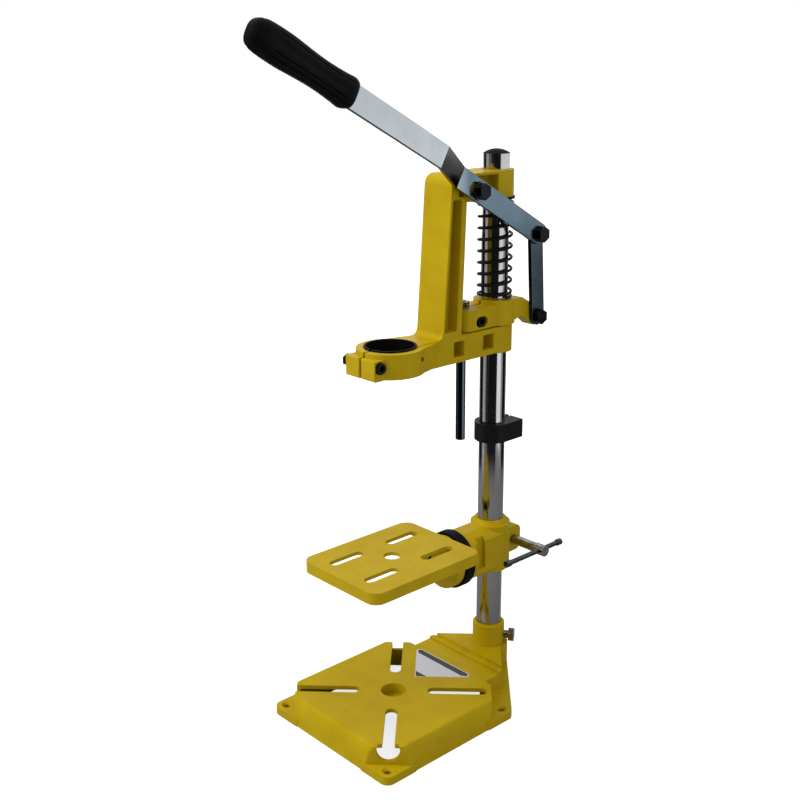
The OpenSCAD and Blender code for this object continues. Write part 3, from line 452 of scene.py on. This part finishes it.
def skin_rings(shape, rings):
    """Closes a shape over equal rings of its points: the sides between them and both ends."""
    sides = len(rings[0])
    for first, second in zip(rings, rings[1:]):
        for k in range(sides):
            n = (k + 1) % sides
            shape.faces.new((first[k], first[n], second[n], second[k]))
    shape.faces.new(list(reversed(rings[0])))
    shape.faces.new(rings[-1])
    bmesh.ops.recalc_face_normals(shape, faces=shape.faces)


def add_ring(shape, middle, across, other, radius_at, sides):
    """Points round a middle, each as far out as its angle asks for."""
    ring = []
    for k in range(sides):
        angle = 2 * math.pi * k / sides
        way = math.cos(angle) * across + math.sin(angle) * other
        ring.append(shape.verts.new(middle + radius_at(k / sides) * way))
    return ring


def tube(path, radius, sides):
    """A round tube along points, with flat ends, as a bmesh."""
    shape = bmesh.new()
    rings = []
    count = len(path)
    across = None
    for i, point in enumerate(path):
        ahead = path[min(i + 1, count - 1)] - path[max(i - 1, 0)]
        way = ahead.normalized()
        if across is None:
            across = way.orthogonal().normalized()
        across = (across - way * across.dot(way)).normalized()
        rings.append(add_ring(shape, point, across, way.cross(across), lambda share: radius,
                              sides))
    skin_rings(shape, rings)
    return shape


# The return spring

SPRING_TURNS = 9.75
SPRING_WIRE = 2.6 * MM
SPRING_END_GAP = 0.7 * MM
SPRING_RINGS = 28
SPRING_SIDES = 12


def spring_lift(turn, height):
    """Rise of the wire's centre after some turns: close turns at both ends."""
    end = SPRING_WIRE + SPRING_END_GAP
    step = (height - SPRING_WIRE - 2 * end) / (SPRING_TURNS - 2)
    late = SPRING_TURNS - 1
    if turn < 1:
        return end * turn
    if turn < late:
        return end + step * (turn - 1)
    return end + step * (late - 1) + end * (turn - late)


def make_spring():
    """The spring's wire between head block and washer, riding on the head as one piece."""
    low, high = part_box("return_spring")
    height = high.z - low.z
    radius = (high.x - low.x - SPRING_WIRE) / 2
    steps = round(SPRING_TURNS * SPRING_RINGS)
    path = []
    for i in range(steps + 1):
        turn = SPRING_TURNS * i / steps
        angle = 2 * math.pi * turn
        rise = low.z + SPRING_WIRE / 2 + spring_lift(turn, height)
        out = Vector((radius * math.cos(angle), radius * math.sin(angle), rise))
        path.append(COLUMN_AXIS + out)
    piece = add_piece("return_spring_wire", tube(path, SPRING_WIRE / 2, SPRING_SIDES),
                      "head", "black_paint")
    smooth(piece, WIRE_SHARP)
    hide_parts("return_spring")
    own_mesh(piece)


# Threads

THREAD_DEPTH = 0.45 * MM
THREAD_PROUD = 0.12 * MM
THREAD_SIDES = 32
# Rows of points in one turn
THREAD_ROWS = 6
THREAD_RADIUS = 4.0 * MM
THREAD_PITCH = 1.25 * MM
SOCKET_RADIUS = 16.0 * MM
SET_SCREW_TURN = math.radians(35)
SET_SCREW_HEIGHT = 39.0 * MM
SET_SCREW_BARE = 4.8 * MM
CLAMP_SCREW_BARE = 7.6 * MM


def thread_radius(along, share):
    """How far out a thread is at a length along the screw and a share of its turn."""
    turn = (along / THREAD_PITCH - share) % 1
    return THREAD_RADIUS + THREAD_PROUD - THREAD_DEPTH * abs(2 * turn - 1)


def add_thread(name, node, start, end):
    """A helical thread laid over a screw's plain stretch from one point to another."""
    way = (end - start).normalized()
    across = way.orthogonal().normalized()
    length = (end - start).length
    rows = math.ceil(length / THREAD_PITCH * THREAD_ROWS)
    shape = bmesh.new()
    rings = []
    for i in range(rows + 1):
        along = length * i / rows
        rings.append(add_ring(shape, start + along * way, across, way.cross(across),
                              lambda share, along=along: thread_radius(along, share),
                              THREAD_SIDES))
    skin_rings(shape, rings)
    smooth(add_piece(name, shape, NODE_BODY[node], SLOTS[node]), TURNED_SHARP)


def make_threads():
    """The threads of the set screw in the base's socket and of the table's clamp screw."""
    way = Vector((math.cos(SET_SCREW_TURN), math.sin(SET_SCREW_TURN), 0))
    middle = COLUMN_AXIS + Vector((0, 0, SET_SCREW_HEIGHT))
    add_thread("set_screw_thread", "base_set_screw", middle + SOCKET_RADIUS * way,
               middle + (SOCKET_RADIUS + SET_SCREW_BARE) * way)
    low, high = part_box("table_clamp_screw")
    middle = (low + high) / 2
    add_thread("clamp_screw_thread", "table_clamp_screw",
               Vector((low.x, middle.y, middle.z)),
               Vector((low.x + CLAMP_SCREW_BARE, middle.y, middle.z)))


# The grip

GRIP_INNER = 277.0 * MM
GRIP_LENGTH = 99.0 * MM
GRIP_WIDTH = 25.0 * MM
GRIP_THICKNESS = 21.0 * MM
GRIP_DROP = 5.47 * MM
GRIP_DROOP = 1.8
# Power of the section's rounded square
GRIP_POWER = 3.0
GRIP_SIDES = 96
GRIP_ROWS = 72
# The rows of points stand closer towards the tip by this power
GRIP_CROWDING = 1.25
GRIP_FLUTES = 14
GRIP_FLUTE_DEPTH = 0.9 * MM
# Shares of the length where the flutes begin and end, and where they fade in and out
GRIP_FLUTE_SPAN = (0.05, 0.86)
GRIP_FLUTE_FADES = (0.05, 0.08)
# Power that narrows the flutes
GRIP_FLUTE_POWER = 3
GRIP_RING_PLACE = 0.935
GRIP_RING_WIDTH = 0.012
GRIP_RING_DEPTH = 0.5 * MM
# Share of the length and share of the full width
GRIP_FORM = [(0, 0.9), (0.03, 0.99), (0.1, 0.95), (0.21, 0.9), (0.32, 0.88), (0.43, 0.9),
             (0.54, 0.945), (0.65, 0.995), (0.75, 1), (0.85, 0.98), (0.91, 0.93), (0.96, 0.8),
             (0.985, 0.6), (0.996, 0.38), (1, 0.18)]


def profile(form, share):
    """A smooth curve through (share, width) pairs, by cubic pieces."""
    for i in range(len(form) - 1):
        (a, va), (b, vb) = form[i], form[i + 1]
        if share <= b:
            before = form[i - 1] if i else (a - (b - a), va)
            after = form[i + 2] if i + 2 < len(form) else (b + (b - a), vb)
            t = (share - a) / (b - a)
            slope_a = (vb - before[1]) / (b - before[0]) * (b - a)
            slope_b = (after[1] - va) / (after[0] - a) * (b - a)
            return ((2 * t**3 - 3 * t**2 + 1) * va + (t**3 - 2 * t**2 + t) * slope_a
                    + (3 * t**2 - 2 * t**3) * vb + (t**3 - t**2) * slope_b)
    return form[-1][1]


def ease(value, low, high):
    """0 below low, 1 above high, smooth between."""
    t = min(1.0, max(0.0, (value - low) / (high - low)))
    return t * t * (3 - 2 * t)


def lever_axes():
    """The lever's end pivot and its ways along the bar and across it, at rest."""
    pivot = next(Vector(joint["pos_m"]) for joint in frame["record"]["behaviour"]["joints"]
                 if joint["name"] == "lever_hinge")
    low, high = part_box("slot_pin_bolt")
    along = (low + high) / 2 - pivot
    along.x = 0
    along.normalize()
    across = Vector((0, along.z, -along.y))
    return pivot, along, -across if across.z < 0 else across


def make_grip():
    """The moulded grip with its long flutes and the ring near its tip."""
    pivot, along, across = lever_axes()
    low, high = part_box("lever_grip")
    droop = math.radians(GRIP_DROOP)
    foot = pivot + GRIP_INNER * along - GRIP_DROP * across
    foot.x = (low.x + high.x) / 2
    way = math.cos(droop) * along - math.sin(droop) * across
    rise = math.cos(droop) * across + math.sin(droop) * along
    side = Vector((1, 0, 0))
    shape = bmesh.new()
    rings = []
    for i in range(GRIP_ROWS + 1):
        share = 1 - (1 - i / GRIP_ROWS) ** GRIP_CROWDING
        wide = profile(GRIP_FORM, share)
        first, last = GRIP_FLUTE_SPAN
        fluted = ease(share, first, first + GRIP_FLUTE_FADES[0])
        fluted *= 1 - ease(share, last - GRIP_FLUTE_FADES[1], last)
        ring_cut = GRIP_RING_DEPTH * max(0.0, 1 - abs(share - GRIP_RING_PLACE) / GRIP_RING_WIDTH)
        ring = []
        for k in range(GRIP_SIDES):
            angle = 2 * math.pi * k / GRIP_SIDES
            flat = []
            for value in (math.cos(angle), math.sin(angle)):
                flat.append(math.copysign(abs(value) ** (2 / GRIP_POWER), value))
            groove = max(0.0, math.cos(GRIP_FLUTES * angle)) ** GRIP_FLUTE_POWER
            cut = GRIP_FLUTE_DEPTH * fluted * groove + ring_cut
            x = wide * flat[0] * (GRIP_THICKNESS / 2 - cut)
            w = wide * flat[1] * (GRIP_WIDTH / 2 - cut)
            ring.append(shape.verts.new(foot + GRIP_LENGTH * share * way + x * side + w * rise))
        rings.append(ring)
    skin_rings(shape, rings)
    piece = add_piece("lever_grip_moulded", shape, NODE_BODY["lever_grip"], "black_plastic")
    smooth(piece, TURNED_SHARP)
    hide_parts("lever_grip")


# The blank label on the base

LABEL_LIFT = 0.12 * MM
LABEL_TOP = 26.0 * MM
# Outlines of the film and of the dark fields printed on it, in millimetres
LABEL_FILM = [(-41, 69), (-38, 73), (28.5, 73.5), (33, 69), (-4, 31.5)]
LABEL_BAND = [(-39.2, 69.2), (-37.4, 72), (28, 72.4), (31, 69.2), (26, 65.4), (-35, 65.8)]
LABEL_CORNER = [(-11, 39.5), (4.2, 39.8), (-3.8, 32.8)]


def add_film(name, outline, base, thickness, material):
    """A thin film with an outline, lying on the base."""
    shape = bmesh.new()
    low = [shape.verts.new((x * MM, y * MM, base)) for x, y in outline]
    high = [shape.verts.new((x * MM, y * MM, base + thickness)) for x, y in outline]
    shape.faces.new(low)
    shape.faces.new(high)
    for k in range(len(outline)):
        n = (k + 1) % len(outline)
        shape.faces.new((low[k], low[n], high[n], high[k]))
    bmesh.ops.recalc_face_normals(shape, faces=shape.faces)
    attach(link_shape(name, shape, material), NODE_BODY["base"])


def make_label():
    """A blank film in the sticker's shape, with two dark fields in place of its print."""
    white = printed_film("label_white", LABEL_WHITE)
    black = printed_film("label_black", LABEL_BLACK)
    add_film("label_film", LABEL_FILM, LABEL_TOP, LABEL_LIFT, white)
    for name, outline in (("label_band", LABEL_BAND), ("label_corner", LABEL_CORNER)):
        add_film(name, outline, LABEL_TOP + LABEL_LIFT, LABEL_LIFT / 2, black)


# Stage, light and camera

FLOOR_SIZE = 12.0
FLOOR_GREY = (0.5, 0.5, 0.5)
# The floor shows as this much of white under the object, and as full white further out
FLOOR_GLOW = 0.78
SHADOW_REACH = (0.35, 0.9)
ROOM_LEVEL = 0.5
WHITE = (1, 1, 1, 1)
FLAG_RADIUS = 0.6
FLAG_STEP = 6.0
# First angle, last angle, height and grey of each screen
FLAGS = {
    "flag_front": (-46, 32, 0.9, 0.022),
    "flag_side": (70, 94, 0.36, 0.55),
    "flag_right": (94, 130, 0.36, 0.012),
    "flag_back": (130, 225, 0.36, 0.3),
    "flag_left": (225, 262, 0.9, 0.012),
    "flag_bright": (262, 288, 0.9, 0.95),
    "flag_grey": (288, 314, 0.9, 0.35),
}
FLAG_FLOOR_RADIUS = 0.75
FLAG_FLOOR_GREY = 0.3
FLAG_FLOOR_LIFT = 0.4 * MM
FLAG_FLOOR_SIDES = 48
# Place, size and power of each lamp, all facing the stand's middle
LIGHT_TARGET = (0, 0.05, 0.28)
LIGHTS = {
    "key": ((-0.9, -1.5, 1.5), 1.1, 26),
    "fill": ((1.7, -0.4, 0.7), 1.2, 3),
    "top": ((0.2, 0.2, 2.1), 1.4, 9),
    "left": ((-0.55, -0.5, 0.95), 0.6, 1.6),
}


def camera_or_mirror(tree):
    """1 on what the camera sees by itself or in metal and glass, 0 on what only lights."""
    path = tree.nodes.new("ShaderNodeLightPath")
    seen = path.outputs["Is Camera Ray"]
    for ray in ("Is Glossy Ray", "Is Transmission Ray"):
        either = tree.nodes.new("ShaderNodeMath")
        either.operation = "MAXIMUM"
        tree.links.new(seen, either.inputs[0])
        tree.links.new(path.outputs[ray], either.inputs[1])
        seen = either.outputs["Value"]
    return seen


def make_floor():
    """A white floor that shows white and keeps a soft shadow under the object."""
    bpy.ops.mesh.primitive_plane_add(size=FLOOR_SIZE, location=(0, 0, 0))
    floor = bpy.context.object
    floor.name = "floor"
    material = bpy.data.materials.new("floor_white")
    material.use_nodes = True
    tree = material.node_tree
    tree.nodes.clear()
    out = tree.nodes.new("ShaderNodeOutputMaterial")
    plain = tree.nodes.new("ShaderNodeBsdfDiffuse")
    plain.inputs["Color"].default_value = (*FLOOR_GREY, 1)
    white = tree.nodes.new("ShaderNodeEmission")
    far = tree.nodes.new("ShaderNodeVectorMath")
    far.operation = "LENGTH"
    place = tree.nodes.new("ShaderNodeTexCoord")
    tree.links.new(place.outputs["Object"], far.inputs[0])
    glow = spread(tree, far.outputs["Value"], SHADOW_REACH, (FLOOR_GLOW, 1))
    shown = tree.nodes.new("ShaderNodeMath")
    shown.operation = "MULTIPLY"
    tree.links.new(glow, shown.inputs[0])
    tree.links.new(camera_or_mirror(tree), shown.inputs[1])
    tree.links.new(shown.outputs["Value"], white.inputs["Strength"])
    both = tree.nodes.new("ShaderNodeAddShader")
    tree.links.new(plain.outputs["BSDF"], both.inputs[0])
    tree.links.new(white.outputs["Emission"], both.inputs[1])
    tree.links.new(both.outputs["Shader"], out.inputs["Surface"])
    set_material(floor, material)


def make_world():
    """White to the camera and in mirrors, an even dimmer room as a light."""
    world = bpy.data.worlds.new("studio")
    bpy.context.scene.world = world
    world.use_nodes = True
    tree = world.node_tree
    tree.nodes.clear()
    out = tree.nodes.new("ShaderNodeOutputWorld")
    mix = tree.nodes.new("ShaderNodeMixShader")
    room = tree.nodes.new("ShaderNodeBackground")
    room.inputs["Color"].default_value = WHITE
    room.inputs["Strength"].default_value = ROOM_LEVEL
    white = tree.nodes.new("ShaderNodeBackground")
    white.inputs["Color"].default_value = WHITE
    tree.links.new(camera_or_mirror(tree), mix.inputs["Fac"])
    tree.links.new(room.outputs["Background"], mix.inputs[1])
    tree.links.new(white.outputs["Background"], mix.inputs[2])
    tree.links.new(mix.outputs["Shader"], out.inputs["Surface"])


def add_flag(name, shape, grey):
    """A grey screen that only metal and gloss reflect."""
    material, _, shader = new_material(name + "_grey")
    shader.inputs["Base Color"].default_value = (grey, grey, grey, 1)
    shader.inputs["Roughness"].default_value = 1.0
    shader.inputs["Specular IOR Level"].default_value = 0.0
    flag = link_shape(name, shape, material)
    flag.visible_camera = False
    flag.visible_diffuse = False
    flag.visible_transmission = False
    flag.visible_shadow = False


def curved_screen(first, last, height):
    """A screen round the column.

    Its ends are angles in degrees from the camera's side, positive to the camera's right.
    """
    steps = max(2, round((last - first) / FLAG_STEP))
    shape = bmesh.new()
    rows = []
    for i in range(steps + 1):
        angle = math.radians(VIEW_AZIMUTH + first + (last - first) * i / steps)
        foot = COLUMN_AXIS + FLAG_RADIUS * Vector((math.sin(angle), -math.cos(angle), 0))
        rows.append((shape.verts.new(foot), shape.verts.new(foot + Vector((0, 0, height)))))
    for (low, high), (next_low, next_high) in zip(rows, rows[1:]):
        shape.faces.new((low, next_low, next_high, high))
    return shape


def make_flags():
    """The screens round the stand and the grey disc on the floor."""
    for name, (first, last, height, grey) in FLAGS.items():
        add_flag(name, curved_screen(first, last, height), grey)
    disc = bmesh.new()
    bmesh.ops.create_circle(disc, cap_ends=True, segments=FLAG_FLOOR_SIDES,
                            radius=FLAG_FLOOR_RADIUS,
                            matrix=Matrix.Translation((0, 0, FLAG_FLOOR_LIFT)))
    add_flag("flag_floor", disc, FLAG_FLOOR_GREY)


def add_softbox(name, place, size, power):
    """A square area lamp at a place, facing the stand, that metal and gloss don't reflect."""
    lamp = bpy.data.lights.new(name, "AREA")
    lamp.shape = "SQUARE"
    lamp.size = size
    lamp.energy = power
    holder = bpy.data.objects.new(name, lamp)
    holder.location = place
    holder.rotation_mode = "QUATERNION"
    holder.rotation_quaternion = (Vector(LIGHT_TARGET) - Vector(place)).to_track_quat("-Z", "Y")
    holder.visible_glossy = False
    bpy.context.scene.collection.objects.link(holder)


def make_lights():
    """All the lamps."""
    for name, (place, size, power) in LIGHTS.items():
        add_softbox(name, place, size, power)


def make_camera():
    """The photograph's camera."""
    azimuth = math.radians(VIEW_AZIMUTH)
    elevation = math.radians(VIEW_ELEVATION)
    roll = math.radians(VIEW_ROLL)
    back = Vector((math.sin(azimuth) * math.cos(elevation),
                   -math.cos(azimuth) * math.cos(elevation), math.sin(elevation)))
    level_right = Vector((math.cos(azimuth), math.sin(azimuth), 0))
    level_up = back.cross(level_right)
    right = math.cos(roll) * level_right + math.sin(roll) * level_up
    up = math.cos(roll) * level_up - math.sin(roll) * level_right
    data = bpy.data.cameras.new("camera")
    data.lens = LENS
    data.sensor_width = SENSOR
    data.clip_start = 0.01
    data.clip_end = 50
    camera = bpy.data.objects.new("camera", data)
    turn = Matrix((right, up, back)).transposed().to_4x4()
    camera.matrix_world = Matrix.Translation(VIEW_EYE) @ turn
    bpy.context.scene.collection.objects.link(camera)
    bpy.context.scene.camera = camera


# The whole scene

SLOTS = {entry["node"]: entry["material_slot"] for entry in frame["record"]["subparts"]}
MATERIALS = {
    "yellow_paint": yellow_paint(),
    "chrome_tube": chrome_tube(),
    "zinc_steel": zinc_steel(),
    "dark_steel": screw_steel("dark_steel", DARK_STEEL, DARK_STEEL_GLOSS),
    "black_paint": black_paint(),
    "black_plastic": black_plastic(),
}
# Radius of the rounded edges of each node, in millimetres
EDGE_ROUNDS = {
    "base": 1.2, "tilt_table": 1.0, "table_block": 1.2, "head_block": 1.2, "carriage": 1.2,
    "stop_collar": 0.9, "index_disc": 0.6, "lever_bar": 0.4, "lift_link": 0.4,
    "base_set_screw": 0.5, "guide_rod_nut": 0.4, "link_pivot_bolt": 0.5, "slot_pin_bolt": 0.5,
    "lever_pivot_nut": 0.5, "lever_pivot_bolt": 0.5, "table_clamp_screw": 0.6, "tommy_bar": 0.7,
    "collar_clamp_screw": 0.4, "head_clamp_screw": 0.4, "stop_collar_screw": 0.4,
    "guide_rod": 0.6, "slot_pin_washer": 0.2, "spring_washer": 0.2, "collar_insert": 0.3,
}
# Pieces of the slot dark_steel that the photograph shows unblackened
BARE_PIECES = ("table_clamp_screw_soft", "clamp_screw_thread", "base_set_screw_soft",
               "set_screw_thread", "guide_rod_nut_soft")

for node, solid in NODES.items():
    set_material(solid, MATERIALS[SLOTS[node]])
    smooth(solid, SOLID_SHARP)
for node, radius in EDGE_ROUNDS.items():
    round_edges(node, radius * MM)
make_spring()
make_grip()
make_label()
make_threads()

bare_steel = screw_steel("bare_steel", BARE_STEEL, BARE_STEEL_GLOSS)
for name in BARE_PIECES:
    set_material(bpy.data.objects[name], bare_steel)
set_material(bpy.data.objects["tommy_bar_soft"],
             screw_steel("worn_steel", WORN_STEEL, WORN_STEEL_GLOSS))

make_floor()
make_world()
make_flags()
make_lights()
make_camera()
bpy.context.scene.view_settings.view_transform = "Standard"
